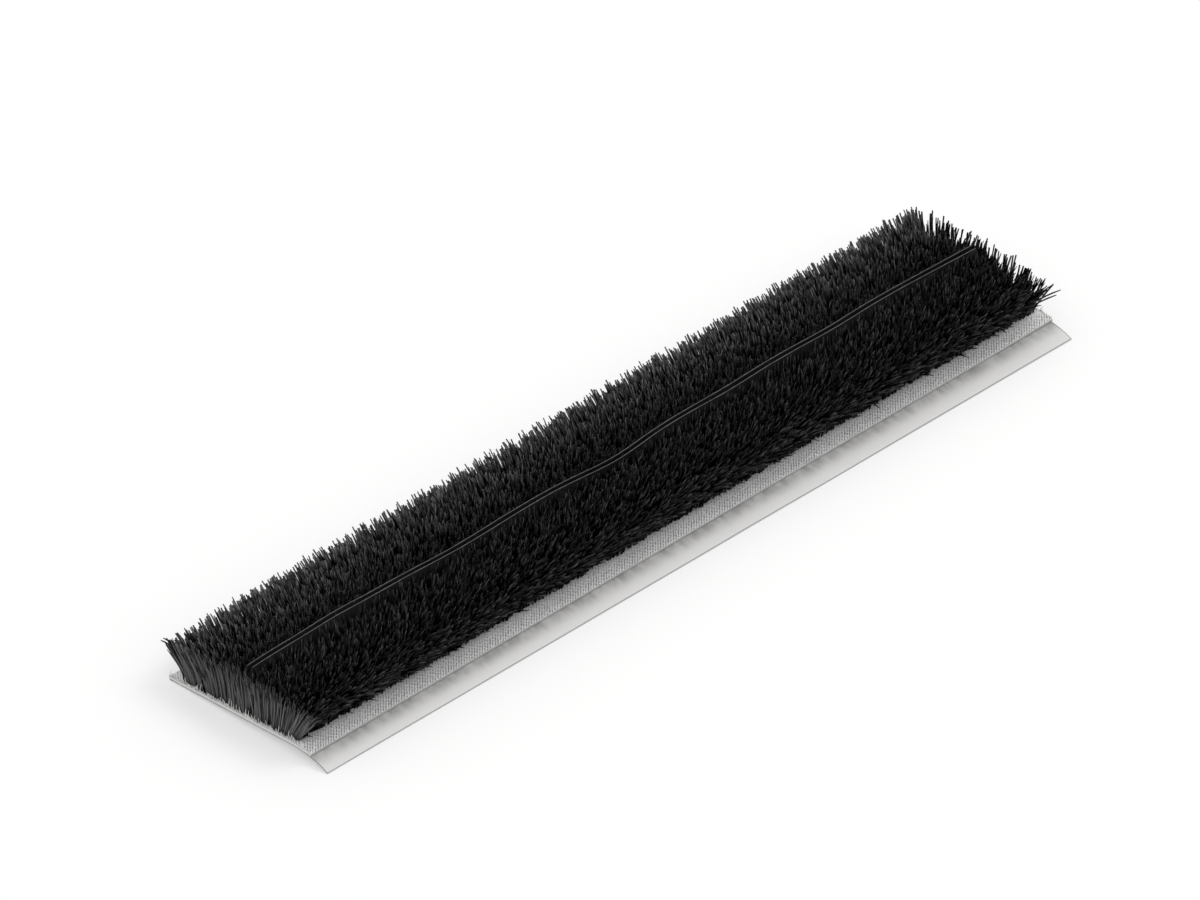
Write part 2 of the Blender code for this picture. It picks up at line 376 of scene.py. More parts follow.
def finish_piece(name, mesh, material, body="root"):
    """Names a level mesh, puts it at its real place, dresses it and lets it ride on the strip."""
    mesh.name = name
    mesh.transform(STRIP_TO_WORLD)
    mesh.materials.clear()
    mesh.materials.append(material)
    piece = add_object(name, mesh)
    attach(piece, body)
    mesh.calc_loop_triangles()
    print(name, "triangles:", len(mesh.loop_triangles))
    return piece


print("film helpers ready")

# %% [markdown]
# ## The release liner
# A thin pale film with a silicone face. Its rings stand close together, with closer points where the section
# bends, and the film's edge lifts a little here and there. It lies askew, so the tab is wider at the right
# end. Beside the backing its colour carries a painted, mottled shadow of the overhanging pile, and its slit
# edge and cut ends carry thin grey rims of painted shade.

# %% Liner mesh
LINER_STATIONS = 72
LINER_ACROSS = 16
EDGE_LIFT = 0.08 * MM
EDGE_WAVES = 4


def liner_ring(share, phases):
    """The liner's outline at a share of its length: over the top, then back along the underside."""
    waves = [math.sin(phase + share * 9.0 * (number + 1)) for number, phase in enumerate(phases)]
    lift = EDGE_LIFT * (EDGE_WAVES + sum(waves)) / (2 * EDGE_WAVES)
    skew = LINER_SKEW * share
    flat = FAR_EDGE - PILE_NEAR_EDGE
    bent = BACKING_WIDTH + LINER_TAB + skew - flat
    row = [skew, flat * 0.5, flat] + [flat + bent * (step + 1) / LINER_ACROSS for step in range(LINER_ACROSS)]
    outline = [(travel, LINER_THICKNESS) for travel in row] + [(travel, 0.0) for travel in reversed(row)]
    return section_ring(share, outline, lift)


chance = random.Random(5)
phases = [chance.uniform(0, 2 * math.pi) for _ in range(EDGE_WAVES)]
shares = [station / LINER_STATIONS for station in range(LINER_STATIONS + 1)]
liner_mesh = loft_film([liner_ring(share, phases) for share in shares])
print("liner faces:", len(liner_mesh.polygons))

# %% Liner finish
BACKING_MM = BACKING_WIDTH / MM
CUT_END_MM = STRIP_LENGTH / 2 / MM
# Grey of the painted shade along the liner's edges.
RIM_SHADE_GREY = (0.30, 0.30, 0.295, 1)

liner_material, tree, shader = new_material("pale_liner_film")
film, along, across = film_place(tree, "film")
slanting = {"Vector": film, "Rotation": (0, 0, math.radians(38)), "Scale": (1.0, 0.5, 1)}
# Painted shadow: mottled dark patches beside the backing, fading out over about 2 mm of the tab, stand in for
# the shadow of the overhanging pile.
pile_shadow_mottle = noise(tree, add_node(tree, "ShaderNodeMapping", slanting).outputs[0], 0.75)
beside_backing = ramp(tree, across, BACKING_MM - 0.1, BACKING_MM + 1.9, 1.0, 0.0)
pile_shadow_patches = ramp(tree, pile_shadow_mottle, 0.33, 0.68, 0.45, 1.0)
painted_pile_shadow = maths(tree, "MULTIPLY", beside_backing, pile_shadow_patches)
film_colour = tint(tree, painted_pile_shadow, (0.76, 0.755, 0.74, 1), (0.34, 0.337, 0.328, 1))

# Painted shade: grey rims along the tab's slit edge and along the cut ends beyond the backing stand in for
# the shade at the film's edges.
unskewed = maths(tree, "MULTIPLY_ADD", along, -LINER_SKEW / STRIP_LENGTH, across)
tab_edge = (BACKING_WIDTH + LINER_TAB + LINER_SKEW / 2) / MM
front_rim_shade = ramp(tree, unskewed, tab_edge - 0.14, tab_edge - 0.05)
from_middle = maths(tree, "ABSOLUTE", along)
end_rim_shade = ramp(tree, from_middle, CUT_END_MM - 0.14, CUT_END_MM - 0.04)
bare = ramp(tree, across, BACKING_MM - 0.2, BACKING_MM)
end_rim_shade = maths(tree, "MULTIPLY", end_rim_shade, bare)
painted_rim = maths(tree, "MAXIMUM", front_rim_shade, end_rim_shade)
dress(tree, shader, tint(tree, painted_rim, film_colour, RIM_SHADE_GREY), 0.38, Specular_IOR_Level=0.4)
liner = finish_piece("liner_film", liner_mesh, liner_material)
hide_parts("release_liner")

# %% [markdown]
# ## The adhesive tape
# Only a thin grey line of the tape shows between the liner and the backing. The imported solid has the
# right shape already, so it keeps it and gets a slightly uneven, tacky-looking finish.

# %% Adhesive finish
adhesive_material, tree, shader = new_material("tacky_adhesive")
ooze = noise(tree, add_node(tree, "ShaderNodeTexCoord").outputs["Object"], 2600.0)
tape_colour = tint(tree, ooze, (0.48, 0.48, 0.48, 1), (0.66, 0.66, 0.65, 1))
dress(tree, shader, tape_colour, 0.45, Normal=relief(tree, ooze, 0.02 * MM))
tape = frame["nodes"]["adhesive_tape"]
tape.material_slots[0].material = adhesive_material
print("tape dressed:", tape.name)

# %% [markdown]
# ## The woven backing
# The backing is a fine weave: about 190 micrometres from one yarn to the next, with its crossings in slanting
# ribs, and a thicker yarn along each long edge. On the two bare margins the crossings are real relief, drawn
# on a grid of half a yarn, and the finish repeats the same waves in the colour, as painted light on the
# crests and painted shade in the hollows. Under the pile the cloth is left plain, because nothing can be seen
# there.

# %% Weave mesh
YARNS_ALONG = 578
YARN_PITCH = STRIP_LENGTH / YARNS_ALONG
COLUMNS = 2 * YARNS_ALONG
FIRST_NEAR_YARN = 94
WEAVE_RELIEF = 0.030 * MM
WEAVE_UNEVEN = 0.008 * MM
SELVEDGE_RELIEF = 0.025 * MM
SELVEDGE_WIDTH = 0.18 * MM
UNDERSIDE_STEP = 34
FAR_ROWS = [YARN_PITCH * step / 2 for step in range(25)]
NEAR_START = YARN_PITCH * FIRST_NEAR_YARN
NEAR_ROWS = [YARN_PITCH * (FIRST_NEAR_YARN + step / 2) for step in range(26)] + [BACKING_WIDTH]
UNDERSIDE_ROWS = (0.0, NEAR_START, NEAR_START + 0.9 * MM, NEAR_START + 1.7 * MM, BACKING_WIDTH)


def weave_height(along, travel, chance):
    """Height of the cloth's top over its base: ribs, crossings and the edge yarn."""
    turn = math.pi / YARN_PITCH
    rib = math.cos(turn * (along + travel))
    crossing = math.cos(turn * along) * math.cos(turn * travel)
    cloth = 0.5 * (rib + crossing) * WEAVE_RELIEF + chance.uniform(-1, 1) * WEAVE_UNEVEN
    from_edge = min(travel, BACKING_WIDTH - travel)
    cord = max(0.0, 1 - abs(2 * from_edge / SELVEDGE_WIDTH - 1))
    return cloth * (1 - cord) + cord * SELVEDGE_RELIEF


def build_weave():
    """The backing as a closed sheet: relief on the margins, plain below and under the pile."""
    builder = bmesh.new()
    uv = builder.loops.layers.uv.new("cloth")
    chance = random.Random(21)
    where = {}
    tops = []
    for column in range(COLUMNS + 1):
        share = column / COLUMNS
        along = STRIP_LENGTH * share
        rows = FAR_ROWS + NEAR_ROWS
        outline = [(travel, BACKING_TOP + weave_height(along, travel, chance)) for travel in rows]
        tops.append(draw_ring(builder, where, section_ring(share, outline)))
    count = len(tops[0])
    bridge(builder, tops, count - 1)

    stations = list(range(0, COLUMNS, UNDERSIDE_STEP)) + [COLUMNS]
    under = [(travel, BACKING_BOTTOM) for travel in UNDERSIDE_ROWS]
    bottoms = [draw_ring(builder, where, section_ring(column / COLUMNS, under)) for column in stations]
    for loop, following in zip(bottoms, bottoms[1:]):
        for corner in range(len(under) - 1):
            builder.faces.new((loop[corner], following[corner], following[corner + 1], loop[corner + 1]))
    for first, last, low, high in zip(stations, stations[1:], bottoms, bottoms[1:]):
        for row, corner in ((0, 0), (count - 1, -1)):
            edge = [tops[column][row] for column in range(first, last + 1)]
            face = [low[corner]] + edge + [high[corner]]
            builder.faces.new(face if row == 0 else face[::-1])
    builder.faces.new((tops[0] + bottoms[0][::-1])[::-1])
    builder.faces.new(tops[-1] + bottoms[-1][::-1])
    return close_mesh(builder, uv, where, 70)


weave_mesh = build_weave()
print("weave faces:", len(weave_mesh.polygons))

# %% Weave finish
weave_material, tree, shader = new_material("grey_ribbed_weave")
cloth, along_middle, across = film_place(tree, "cloth")
turn = math.pi / (YARN_PITCH / MM)
along = maths(tree, "ADD", along_middle, CUT_END_MM)
from_middle = maths(tree, "ABSOLUTE", along_middle)


def wave(distance):
    """A cosine that turns over with each yarn."""
    return maths(tree, "COSINE", maths(tree, "MULTIPLY", distance, turn))


fibre = noise(tree, cloth, 5.0, roughness=0.6)
patchiness = noise(tree, cloth, 0.45)
diagonal = maths(tree, "ADD", along, across)
rib = wave(maths(tree, "MULTIPLY_ADD", fibre, 0.16, diagonal))
slant = maths(tree, "MULTIPLY", maths(tree, "SUBTRACT", along, across), 0.56)
grain = wave(maths(tree, "MULTIPLY_ADD", fibre, 0.9, slant))
# Painted light and shade: the colour follows the ribs and grains, paler on the crests and darker in the
# hollows between the yarns; the fibre noise and the large patches are random tone.
rib_shading = maths(tree, "MULTIPLY_ADD", rib, 0.50, maths(tree, "MULTIPLY", grain, 0.24))
unevenness = maths(tree, "MULTIPLY_ADD", fibre, 3.0, maths(tree, "MULTIPLY", patchiness, 0.4))
# Painted light: the cloth is paler from 1.8 mm inside the near edge inwards, fading out by 0.7 mm from that
# edge, so the margin at the pile's foot is lightened against the shade of the overhanging bristles.
painted_light_near_pile = ramp(tree, across, BACKING_MM - 0.7, BACKING_MM - 1.8, 0.0, 0.36)
unevenness = maths(tree, "ADD", unevenness, painted_light_near_pile)
lightness = ramp(tree, maths(tree, "ADD", rib_shading, unevenness), 1.28, 1.90)
cloth_colour = tint(tree, lightness, (0.31, 0.31, 0.315, 1), (1.0, 1.0, 0.995, 1))
from_edge = maths(tree, "MINIMUM", across, maths(tree, "SUBTRACT", BACKING_MM, across))
wavy = maths(tree, "MULTIPLY_ADD", patchiness, 0.16, from_edge)
edge_yarn = ramp(tree, wavy, 0.21, 0.13, 0.0, 0.35)
cloth_colour = tint(tree, edge_yarn, cloth_colour, (0.90, 0.90, 0.89, 1))
cut = ramp(tree, from_middle, CUT_END_MM - 0.10, CUT_END_MM - 0.03)
cloth_colour = tint(tree, cut, cloth_colour, (0.80, 0.80, 0.79, 1))
# Painted shade: the backing's long side faces and the very edge of its top are darker.
side = ramp(tree, from_edge, 0.05, 0.0)
cloth_colour = tint(tree, side, cloth_colour, (0.40, 0.40, 0.40, 1))
bump = relief(tree, fibre, 0.03 * MM, 0.5)
dress(tree, shader, cloth_colour, 0.62, Normal=bump, Sheen_Weight=0.15)
backing = finish_piece("backing_weave", weave_mesh, weave_material)
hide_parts("woven_backing")

# %% [markdown]
# ## The fin
# A clear-grey film is folded into a U and stands between the two banks of bristles. Its two top edges wander
# a little, because bristles on either side push on it, and the finish paints them paler as two thin lines, a
# painted highlight. The end corners are cut back on a slant.

# %% Fin mesh
PILE_HEIGHT = 5.15 * MM
FIN_HEIGHT = PILE_HEIGHT + 0.05 * MM
FIN_PLY = 0.08 * MM
FIN_OPENING = 0.56 * MM
FIN_HALF_WIDTH = FIN_OPENING / 2 + FIN_PLY
FIN_END_INSET = 0.3 * MM
FIN_END_RAKE = 1.3 * MM
FIN_END_DIP = 0.30 * MM
FIN_DIP_REACH = 7.0 * MM
FIN_BENDS_MM = (
    (0.0, 8.0, -0.12),
    (14.0, 4.0, 0.18),
    (31.7, 7.0, -0.36),
    (53.4, 5.5, -0.68),
    (69.5, 5.0, -0.18),
    (86.0, 4.5, -0.20),
    (104.0, 9.0, -0.45),
    (54.0, 28.0, -0.24),
)
FIN_BENDS = [[part * MM for part in bend] for bend in FIN_BENDS_MM]
FIN_STATIONS = 260
FIN_WALL_STEPS = 6
FIN_FOLD_STEPS = 8
FIN_RIPPLE = 0.030 * MM
FIN_RIPPLE_LENGTHS = (5.1, 2.9, 1.7, 0.83)


def fin_shift(along):
    """How far the fin's top edge stands towards +Y, at a distance from the left cut end."""
    return sum(shift * math.exp(-(((along - place) / reach) ** 2)) for place, reach, shift in FIN_BENDS)


def from_end(along):
    """How far a point stands from the nearer cut end."""
    return max(0.0, min(along, STRIP_LENGTH - along))


def fin_wall(half_width):
    """Points down one side of the U, round its fold and up the other side."""
    middle = FIN_HALF_WIDTH
    drops = [FIN_HEIGHT + (middle - FIN_HEIGHT) * step / FIN_WALL_STEPS for step in range(FIN_WALL_STEPS)]
    angles = [math.pi * step / FIN_FOLD_STEPS for step in range(FIN_FOLD_STEPS + 1)]
    fold = [(half_width * math.cos(angle), middle - half_width * math.sin(angle)) for angle in angles]
    return [(half_width, z) for z in drops] + fold + [(-half_width, z) for z in reversed(drops)]


def fin_ripple(phases, along):
    """Small waves of one ply's top edge."""
    waves = zip(phases, FIN_RIPPLE_LENGTHS)
    longest = FIN_RIPPLE_LENGTHS[0]
    return sum(math.sin(phase + along / (wave * MM)) * wave / longest for phase, wave in waves)


def fin_ring(station, outline, phases):
    """The outline at one station: raked and dipped at the ends and bent along the fin's course."""
    ring = []
    for y, z in outline:
        rise = z / FIN_HEIGHT
        inset = FIN_END_INSET + FIN_END_RAKE * rise**2
        along = inset + (STRIP_LENGTH - 2 * inset) * station / FIN_STATIONS
        dip = FIN_END_DIP * max(0.0, 1.0 - from_end(along) / FIN_DIP_REACH) ** 2 * rise
        ripple = FIN_RIPPLE * fin_ripple(phases[y > 0], along) * rise**3
        bend = fin_shift(along) * rise**2 + ripple
        ring.append(((along - STRIP_LENGTH / 2, y + bend, ROOT_PLANE + z - dip), (along, z)))
    return ring


outline = fin_wall(FIN_HALF_WIDTH) + fin_wall(FIN_OPENING / 2)[::-1]
chance = random.Random(8)
phases = [[chance.uniform(0, 6.28) for _ in FIN_RIPPLE_LENGTHS] for _ in range(2)]
fin_mesh = loft_film([fin_ring(station, outline, phases) for station in range(FIN_STATIONS + 1)])
print("fin faces:", len(fin_mesh.polygons))

# %% Fin finish
fin_material, tree, shader = new_material("smoky_film")
film, _, up_film = film_place(tree, "film")
haze = noise(tree, film, 1.6, detail=4.0)
# Painted highlight: the top 0.1 mm of each ply is paler, in patches, as two thin lit lines.
painted_rim = ramp(tree, up_film, FIN_HEIGHT / MM - 0.10, FIN_HEIGHT / MM, course="LINEAR")
patchiness = ramp(tree, haze, 0.38, 0.62, 0.35, 1.0)
painted_edge_highlight = maths(tree, "MULTIPLY", painted_rim, patchiness)
fin_colour = tint(tree, painted_edge_highlight, (0.016, 0.016, 0.017, 1), (0.090, 0.090, 0.093, 1))
dress(tree, shader, fin_colour, 0.35)
fin = finish_piece("fin_film", fin_mesh, fin_material)
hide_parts("barrier_fin")

# %% [markdown]
# ## The pile
# Some twenty-five thousand bristles make the two banks. They stand nearly straight beside the fin and
# fan out more and more towards the long edges and the cut ends. A plain patch of the backing carries,
# at each of its points, how the bristles there lean and which way neighbours push their tips. The
# scatter then plants one thin four-sided filament per point and bends it along that lean. Each of its
# rings is turned square to the bend, so a bristle keeps its thickness however far it leans, and the last
# ring is narrower, because the blade leaves a slightly pointed tip.

# %% Tree maker
class TreeMaker:
    """Short calls that draw a tree."""

    def __init__(self, name, inputs):
        self.tree = bpy.data.node_groups.new(name, "GeometryNodeTree")
        face = self.tree.interface
        face.new_socket("Geometry", in_out="INPUT", socket_type="NodeSocketGeometry")
        for title, kind in inputs:
            face.new_socket(title, in_out="INPUT", socket_type="NodeSocket" + kind)
        face.new_socket("Geometry", in_out="OUTPUT", socket_type="NodeSocketGeometry")
        self.given = self.tree.nodes.new("NodeGroupInput").outputs
        self.result = self.tree.nodes.new("NodeGroupOutput").inputs[0]

    def node(self, kind, inputs=None, **settings):
        return add_node(self.tree, kind, inputs, **settings)

    def maths(self, operation, *values):
        return maths(self.tree, operation, *values)

    def vectors(self, operation, first, second):
        """One vector maths node; a scale or a dot product deals with a plain number."""
        slot = 3 if operation == "SCALE" else 1
        node = self.node("ShaderNodeVectorMath", {0: first, slot: second}, operation=operation)
        return node.outputs[1 if operation == "DOT_PRODUCT" else 0]

    def combine(self, x=0.0, y=0.0, z=0.0):
        return self.node("ShaderNodeCombineXYZ", {0: x, 1: y, 2: z}).outputs[0]

    def split(self, vector):
        return self.node("ShaderNodeSeparateXYZ", {0: vector}).outputs

    def named(self, name, kind="FLOAT"):
        return self.node("GeometryNodeInputNamedAttribute", {"Name": name}, data_type=kind).outputs[0]

    def store(self, geometry, name, value, kind="FLOAT"):
        inputs = {"Geometry": geometry, "Name": name, "Value": value}
        return self.node("GeometryNodeStoreNamedAttribute", inputs, data_type=kind).outputs[0]

    def chance(self, low, high, seed_shift):
        seed = self.maths("ADD", self.given["Seed"], seed_shift)
        roll = self.node("FunctionNodeRandomValue", {2: low, 3: high, "Seed": seed}, data_type="FLOAT")
        return roll.outputs[1]


print("tree maker ready")

# %% Roots of the bristles
PILE_INPUTS = (
    ("Bristles per m2", "Float"),
    ("Length", "Float"),
    ("Length spread", "Float"),
    ("Radius", "Float"),
    ("Tip width", "Float"),
    ("Bend power", "Float"),
    ("Segments", "Int"),
    ("Lean spread", "Float"),
    ("Clump lean", "Float"),
    ("Seed", "Int"),
    ("Material", "Material"),
)


def scatter_roots(maker):
    """Points on the patch, each with its root, lean, length and shade."""
    given = maker.given
    density = given["Bristles per m2"]
    inputs = {"Mesh": given["Geometry"], "Density": density, "Seed": given["Seed"]}
    points = maker.node("GeometryNodeDistributePointsOnFaces", inputs).outputs["Points"]
    root = maker.node("GeometryNodeInputPosition").outputs[0]
    clump = maker.node("ShaderNodeTexNoise", {"Vector": root, "Scale": 900.0, "Detail": 1.0})
    clump_parts = maker.node("FunctionNodeSeparateColor", {0: clump.outputs["Color"]})
    leans = []
    for number in range(2):
        own = maker.maths("ADD", maker.chance(-1, 1, 10 + number), maker.chance(-1, 1, 20 + number))
        own = maker.maths("MULTIPLY", own, given["Lean spread"])
        shared = maker.maths("SUBTRACT", clump_parts.outputs[number], 0.5)
        leans.append(maker.maths("MULTIPLY_ADD", shared, given["Clump lean"], own))
    short = maker.maths("MULTIPLY", maker.chance(0, 1, 30), given["Length spread"])
    length = maker.maths("MULTIPLY", given["Length"], maker.maths("SUBTRACT", 1.0, short))
    points = maker.store(points, "root", root, "FLOAT_VECTOR")
    points = maker.store(points, "lean_x", leans[0])
    points = maker.store(points, "lean_y", maker.maths("ADD", maker.named("lean"), leans[1]))
    points = maker.store(points, "length", length)
    return maker.store(points, "shade", maker.chance(0, 1, 40))


print("tree inputs:", len(PILE_INPUTS))

# %% Bristle tree
def build_pile_tree():
    """Plants a straight filament on each root and bends it along the lean that it carries."""
    maker = TreeMaker("bristle_scatter", PILE_INPUTS)
    given = maker.given
    points = scatter_roots(maker)
    shape = {"Vertices": 4, "Side Segments": given["Segments"], "Depth": 1.0}
    for end in ("Radius Top", "Radius Bottom"):
        shape[end] = given["Radius"]
    filament = maker.node("GeometryNodeMeshCone", shape).outputs["Mesh"]
    height = maker.split(maker.node("GeometryNodeInputPosition").outputs[0])[2]
    filament = maker.store(filament, "rise", height)
    turn = maker.combine(z=maker.chance(0, 2 * math.pi, 50))
    placing = {"Points": points, "Instance": filament, "Rotation": turn}
    planted = maker.node("GeometryNodeInstanceOnPoints", placing)
    real = maker.node("GeometryNodeRealizeInstances", {0: planted.outputs[0]}).outputs[0]

    rise = maker.named("rise")
    length = maker.named("length")
    foot = maker.named("root", "FLOAT_VECTOR")
    push = maker.named("push", "FLOAT_VECTOR")
    lean_x = maker.named("lean_x")
    lean_y = maker.named("lean_y")
    lean_y_square = maker.maths("POWER", lean_y, 2.0)
    tilt = maker.maths("SQRT", maker.maths("MULTIPLY_ADD", lean_x, lean_x, lean_y_square))
    drop = maker.maths("SUBTRACT", 1.0, maker.maths("COSINE", tilt))
    lean = maker.combine(maker.maths("SINE", lean_x), maker.maths("SINE", lean_y))
    lean = maker.vectors("SCALE", lean, length)

    power = given["Bend power"]
    curl = maker.maths("POWER", rise, power)
    curl_slope = maker.maths("POWER", rise, maker.maths("SUBTRACT", power, 1.0))
    curl_slope = maker.maths("MULTIPLY", curl_slope, power)
    square = maker.maths("MULTIPLY", rise, rise)
    climb = maker.maths("SUBTRACT", rise, maker.maths("MULTIPLY", drop, curl))
    climb_slope = maker.maths("SUBTRACT", 1.0, maker.maths("MULTIPLY", drop, curl_slope))

    def along_bristle(bend, pushed, climbed):
        leaning = maker.vectors("SCALE", lean, bend)
        sideways = maker.vectors("ADD", leaning, maker.vectors("SCALE", push, pushed))
        return maker.vectors("ADD", sideways, maker.combine(z=maker.maths("MULTIPLY", length, climbed)))

    middle = along_bristle(curl, square, climb)
    heading = along_bristle(curl_slope, maker.maths("MULTIPLY", rise, 2.0), climb_slope)
    heading = maker.node("ShaderNodeVectorMath", {0: heading}, operation="NORMALIZE").outputs[0]
    halfway = maker.vectors("ADD", heading, (0.0, 0.0, 1.0))
    place = maker.vectors("SUBTRACT", maker.node("GeometryNodeInputPosition").outputs[0], foot)
    place_parts = maker.split(place)
    ring = maker.combine(place_parts[0], place_parts[1])
    taper = {"Value": rise, "From Min": 0.75, "From Max": 1.0, "To Min": 1.0, "To Max": given["Tip width"]}
    ring = maker.vectors("SCALE", ring, maker.node("ShaderNodeMapRange", taper).outputs[0])
    reach = maker.maths("DIVIDE", maker.vectors("DOT_PRODUCT", ring, heading), maker.split(halfway)[2])
    ring = maker.vectors("SUBTRACT", ring, maker.vectors("SCALE", halfway, reach))
    target = maker.vectors("ADD", maker.vectors("ADD", foot, middle), ring)
    bent = maker.node("GeometryNodeSetPosition", {"Geometry": real, "Position": target}).outputs[0]
    dressed = maker.node("GeometryNodeSetMaterial", {"Geometry": bent, "Material": given["Material"]})
    maker.tree.links.new(dressed.outputs[0], maker.result)
    return maker.tree


pile_tree = build_pile_tree()
print("bristle tree nodes:", len(pile_tree.nodes))

# %% [markdown]
# ## Patches of pile
# Each patch is a flat piece of a bank's footprint. Bristles along the open edges show from root to tip,
# so their patches use filaments with more segments; those inside the pile show only their tips.

# %% Patches
PILE_LEAN_NEAR = math.radians(37)
PILE_LEAN_FAR = math.radians(29)
LEAN_POWER = 2.0
NEAR_CORNER_LEAN = 0.65
END_SPLAYS = (
    {"fin": 0.45 * MM, "far": 0.6 * MM, "near": 0.35 * MM},
    {"fin": 0.3 * MM, "far": 1.1 * MM, "near": -0.15 * MM},
)
SPLAY_REACH = 7.0 * MM


def edge_lean(y):
    """Lean of a bristle rooted at y, and how far across its bank it stands."""
    edge, lean = (PILE_FAR_EDGE, PILE_LEAN_FAR) if y > 0 else (PILE_NEAR_EDGE, -PILE_LEAN_NEAR)
    share = y / edge
    return lean * share**LEAN_POWER, share


def build_patch(corners, steps, height=ROOT_PLANE, ragged=(0.0, 0.0, 0.0)):
    """A grid of roots that carries the lean and the push of the tips; its outer line may be ragged.

    The three ragged values are how far it reaches out at the left and right ends, and its waver."""
    chance = random.Random(17)
    (x_low, y_low), (x_high, y_high) = corners
    across_x, across_y = steps
    mesh = bpy.data.meshes.new("patch")
    vertices = []
    for row in range(across_y + 1):
        for column in range(across_x + 1):
            x = x_low + (x_high - x_low) * column / across_x
            y = y_low + (y_high - y_low) * row / across_y
            if row == (across_y if y_low > 0 else 0):
                left, right, waver = ragged
                reach = left + (right - left) * (0.5 + x / STRIP_LENGTH) + chance.uniform(-waver, waver)
                y += math.copysign(reach, y)
            vertices.append((x, *section_point(FAR_EDGE - y, height, 0.5)))
    faces = []
    for row in range(across_y):
        for column in range(across_x):
            corner = row * (across_x + 1) + column
            faces.append((corner, corner + 1, corner + across_x + 2, corner + across_x + 1))
    mesh.from_pydata(vertices, [], faces)
    lean_layer = mesh.attributes.new("lean", "FLOAT", "POINT")
    push_layer = mesh.attributes.new("push", "FLOAT_VECTOR", "POINT")
    for number, (x, y, _) in enumerate(vertices):
        lean, share = edge_lean(y)
        along = x + STRIP_LENGTH / 2
        closeness = max(0.0, 1.0 - from_end(along) / SPLAY_REACH) ** 2
        splays = END_SPLAYS[x > 0]
        outer = splays["far" if y > 0 else "near"]
        splay = (splays["fin"] + (outer - splays["fin"]) * share) * closeness
        if x > 0 and y < 0:
            lean *= 1 - (1 - NEAR_CORNER_LEAN) * closeness
        lean_layer.data[number].value = lean
        push_layer.data[number].vector = (splay if x > 0 else -splay, fin_shift(along) * (1 - share), 0.0)
    return add_object("patch", mesh)


def grow(patch, tree, values):
    """Runs a geometry tree on a patch and returns the plain mesh that it makes."""
    modifier = patch.modifiers.new("growth", "NODES")
    modifier.node_group = tree
    for item in tree.interface.items_tree:
        if item.name in values:
            modifier[item.identifier] = values[item.name]
    depsgraph = bpy.context.evaluated_depsgraph_get()
    grown = bpy.data.meshes.new_from_object(patch.evaluated_get(depsgraph), depsgraph=depsgraph)
    bpy.data.objects.remove(patch)
    for leftover in ("root", "lean_x", "lean_y", "length", "lean", "push"):
        if leftover in grown.attributes:
            grown.attributes.remove(grown.attributes[leftover])
    grown.shade_flat()
    return grown


print("patch helpers ready")

# %% [markdown]
# ## Bristle finish
# The bristles are black nylon monofilament: nearly black and glossy enough to mirror the white table. Their
# tips carry a painted highlight, some more than others, where they stand out of the pile, while the lower
# parts stay black as in the pile's shade. On the far bank that painted light grows towards the long edge,
# where light falls on the bank; along the near edge the bristles are duller. The left end is painted grey
# from root to tip, painted light as if lit from the left, and a darker copy of the finish paints the right
# end black, painted shade.

# %% Bristle finishes
FAR_LIGHT_FROM = 1.5 * MM
FAR_LIGHT_TO = 9.0 * MM
TIP_HIGHLIGHT_END = 0.97


def bristle_finish(name, body, tip, gloss, start=0.68, evenness=3.0, lit_outer_tip=None):
    """Black filament with a painted highlight on its tips, stronger on some bristles than on others, and
    painted light growing towards the far edge where an outer tip colour is given.
    """
    material, tree, shader = new_material(name)
    shade = maths(tree, "POWER", attribute(tree, "shade"), evenness)
    own = maths(tree, "MULTIPLY_ADD", shade, 0.85, 0.15)
    # Painted highlight: the upper part of each bristle is paler, more on some bristles than on others; below
    # it the filament stays black as in the pile's shade.
    painted_tip_highlight = ramp(tree, attribute(tree, "rise"), start, TIP_HIGHLIGHT_END)
    lift = maths(tree, "MULTIPLY", painted_tip_highlight, own)
    low, high, outer = [(level, level, level * 1.04, 1) for level in (body, tip, lit_outer_tip or tip)]
    # Painted light: where an outer tip colour is given, the tips grow paler from the fin towards the far
    # edge.
    place = add_node(tree, "ShaderNodeTexCoord").outputs["Object"]
    across = add_node(tree, "ShaderNodeSeparateXYZ", {0: place}).outputs[1]
    high = tint(tree, ramp(tree, across, FAR_LIGHT_FROM, FAR_LIGHT_TO), high, outer)
    dress(tree, shader, tint(tree, lift, low, high), 0.34, Specular_IOR_Level=gloss)
    return material


bristle_material = bristle_finish("black_monofilament", 0.003, 0.165, gloss=0.20, start=0.80)
far_material = bristle_finish(
    "far_lit_monofilament", 0.002, 0.066, gloss=0.28, start=0.81, evenness=2.2, lit_outer_tip=0.240
)
foot_material = bristle_finish("edge_monofilament", 0.003, 0.150, gloss=0.12, start=0.76)
# Painted light: the left end's face is grey from root to tip, as if lit from the left.
lit_end_material = bristle_finish("lit_end_monofilament", 0.072, 0.072, gloss=0.45)
# Painted shade: a darker copy keeps the right end, the fin's right end row and the corner strays black.
shaded_copy_material = bristle_finish("shaded_black_monofilament", 0.002, 0.030, gloss=0.16)
print("bristle finishes:", [item.name for item in bpy.data.materials if "monofilament" in item.name])

# %% [markdown]
# ## How the bristles differ
# No two patches look alike. The far bank keeps its bristles in order, and its edge is blunt and even.
# The near bank is more ruffled. The left end shows a dense face of bristles from root to tip, while
# only single blunt ones stand out at the right end. Small tables hold these looks.

# %% Looks of the patches
BRISTLES_PER_MM2 = 13.5
EDGE_PER_MM2 = 1.35 * BRISTLES_PER_MM2
BRISTLE_RADIUS = 0.092 * MM
TIP_WIDTH = 0.4
BEND_POWER = 1.5


def looks(tip_width, length_spread, lean_spread, clump_lean, material):
    """How a patch's bristles differ from one another; both angles are in degrees."""
    return {
        "Tip width": tip_width,
        "Length spread": length_spread,
        "Lean spread": math.radians(lean_spread),
        "Clump lean": math.radians(clump_lean),
        "Material": material,
    }


